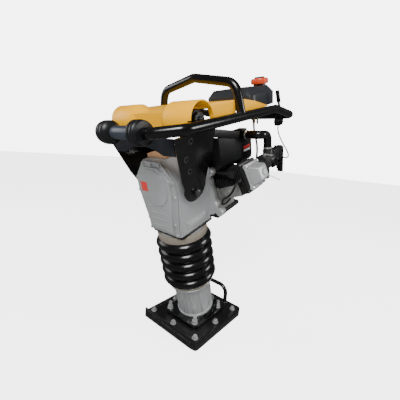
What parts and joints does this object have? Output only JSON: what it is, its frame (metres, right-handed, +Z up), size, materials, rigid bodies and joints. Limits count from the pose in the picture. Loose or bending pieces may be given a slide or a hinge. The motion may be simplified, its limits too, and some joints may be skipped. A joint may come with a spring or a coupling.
{
  "type": "tamping rammer",
  "caption": "Upright petrol tamping rammer: square shoe, ribbed bellows leg leaning forward, cast crankcase, side engine, tube handle with rollers, lift hoop, yellow cover and rear tank.",
  "frame": {"origin": "centre of the flat sole, on the ground", "axes": "+Z up, -Y the front (towards the rollers and the crankcase cover), +Y the operator's side, +X the machine's left, where the engine's cylinder points"},
  "size_m": [0.4596, 0.761, 1.0536],
  "materials": {
    "black_paint": "gloss black paint",
    "shoe_core": "black coated synthetic core",
    "sole_steel": "worn steel",
    "cast_alloy": "cast, satin",
    "zinc": "zinc plated",
    "machined_steel": "machined, oiled",
    "spring_steel": "oil tempered",
    "clamp_band": "plated band",
    "rubber": "moulded, slightly glossy",
    "yellow_plastic": "glossy moulded",
    "tank_plastic": "moulded, satin",
    "cap_plastic": "moulded",
    "black_plastic": "moulded, fine grain",
    "engine_black": "heat-proof black",
    "engine_alloy": "cast, satin",
    "head_alloy": "cast, heat-proof black",
    "grey_paint": "satin dark grey",
    "brass": "machined",
    "friction": "friction lining"
  },
  "bodies": {
    "foot": {"sole_plate": "sole_steel", "shoe_body": "shoe_core", "shoe_bolts": "zinc", "shoe_handle": "black_paint", "foot_block": "black_paint", "foot_studs": "zinc", "foot_cylinder": "cast_alloy", "lower_clamp": "clamp_band", "spring_cylinder": "machined_steel", "cylinder_cap": "machined_steel", "lower_spring": "spring_steel", "upper_spring": "spring_steel", "bellows": "rubber"},
    "piston": {"piston": "machined_steel"},
    "rod": {"connecting_rod": "machined_steel"},
    "case": {"upper_clamp": "clamp_band", "guide_cylinder": "cast_alloy", "base_plate": "black_paint", "crankcase": "cast_alloy", "front_cover": "cast_alloy", "cover_bolts": "zinc", "bearings": "machined_steel", "engine_block": "engine_alloy", "engine_bolts": "zinc", "engine_cylinder": "engine_black", "cylinder_head": "head_alloy", "rocker_cover": "cast_alloy", "spark_plug": "black_plastic", "plug_lead": "rubber", "recoil_cover": "black_plastic", "muffler": "engine_black", "carburettor": "engine_alloy", "control_plate": "black_paint", "intake_elbow": "rubber", "air_cleaner": "black_plastic", "air_cleaner_hood": "black_plastic", "side_plates": "black_paint", "cross_panel": "grey_paint", "rubber_mounts": "rubber", "mount_bolts": "zinc"},
    "crank_gear": {"crank_gear": "machined_steel"},
    "clutch_drum": {"clutch_drum": "machined_steel"},
    "engine_crank": {"clutch_shoes": "friction", "crankshaft": "machined_steel", "flywheel": "engine_alloy"},
    "starter_grip": {"starter_grip": "black_plastic"},
    "throttle_arm": {"throttle_arm": "zinc"},
    "choke_lever": {"choke_lever": "black_plastic"},
    "handle": {"handle_frame": "black_paint", "lift_hoop": "black_paint", "top_cover": "yellow_plastic", "fuel_tank": "tank_plastic", "fuel_cock": "brass", "fuel_hose": "rubber", "throttle_bracket": "black_plastic", "throttle_cable": "rubber"},
    "front_rollers": {"front_rollers": "rubber"},
    "fuel_cap": {"fuel_cap": "cap_plastic"},
    "cock_lever": {"cock_lever": "brass"},
    "throttle_lever": {"throttle_lever": "black_plastic"}
  },
  "joints": [
    {"name": "leg_stroke", "type": "slide", "parent": "foot", "child": "case", "axis": [0, -0.309, 0.9511], "range_m": [-0.03, 0.035], "stiffness_N_per_m": 90000, "springref_m": 0.0065, "deforming": ["bellows"]},
    {"name": "piston_stroke", "type": "slide", "parent": "foot", "child": "piston", "axis": [0, -0.309, 0.9511], "range_m": [-0.025, 0.03], "stiffness_N_per_m": 60000, "springref_m": 0.0005, "deforming": ["lower_spring", "upper_spring"]},
    {"name": "rod_swing", "type": "hinge", "parent": "piston", "child": "rod", "pos_m": [0, -0.10397, 0.39716], "axis": [0, 0.9511, 0.309], "range_deg": [-9, 9]},
    {"name": "crank_turn", "type": "hinge", "parent": "case", "child": "crank_gear", "pos_m": [0, -0.137, 0.62826], "axis": [0, 0.9511, 0.309], "continuous": true},
    {"name": "pinion_turn", "type": "hinge", "parent": "case", "child": "clutch_drum", "pos_m": [0, -0.10827, 0.53981], "axis": [0, 0.9511, 0.309], "continuous": true},
    {"name": "engine_turn", "type": "hinge", "parent": "case", "child": "engine_crank", "pos_m": [0, -0.00365, 0.5738], "axis": [0, 0.9511, 0.309], "continuous": true},
    {"name": "starter_pull", "type": "slide", "parent": "case", "child": "starter_grip", "axis": [-0.866, -0.1545, 0.4755], "range_m": [0, 0.55], "stiffness_N_per_m": 20, "springref_m": -0.1},
    {"name": "handle_rock", "type": "hinge", "parent": "case", "child": "handle", "pos_m": [0, -0.25589, 0.79677], "axis": [1, 0, 0], "range_deg": [-1.5, 1.5], "stiffness_Nm_per_rad": 9000, "springref_deg": 0.32, "deforming": ["fuel_hose", "throttle_cable"]},
    {"name": "roller_turn", "type": "hinge", "parent": "handle", "child": "front_rollers", "pos_m": [0, -0.37613, 0.74613], "axis": [1, 0, 0], "continuous": true},
    {"name": "fuel_cap_turn", "type": "hinge", "parent": "handle", "child": "fuel_cap", "pos_m": [0.062, 0.23248, 1.01854], "axis": [0, -0.309, 0.9511], "continuous": true},
    {"name": "fuel_cock_turn", "type": "hinge", "parent": "handle", "child": "cock_lever", "pos_m": [0.1, 0.14754, 0.86897], "axis": [1, 0, 0], "range_deg": [0, 90]},
    {"name": "throttle", "type": "hinge", "parent": "handle", "child": "throttle_lever", "pos_m": [0.1424, 0.3114, 0.87595], "axis": [1, 0, 0], "range_deg": [0, 55]},
    {"name": "throttle_arm_turn", "type": "hinge", "parent": "case", "child": "throttle_arm", "pos_m": [0.195, 0.0898, 0.71983], "axis": [0, -0.309, 0.9511], "range_deg": [-60, 0]},
    {"name": "choke", "type": "hinge", "parent": "case", "child": "choke_lever", "pos_m": [0.217, 0.14415, 0.71436], "axis": [1, 0, 0], "range_deg": [0, 80]}
  ],
  "couplings": [
    {"joint": "pinion_turn", "follows": "crank_turn", "ratio": -4.4706},
    {"joint": "throttle_arm_turn", "follows": "throttle", "ratio": -1}
  ]
}
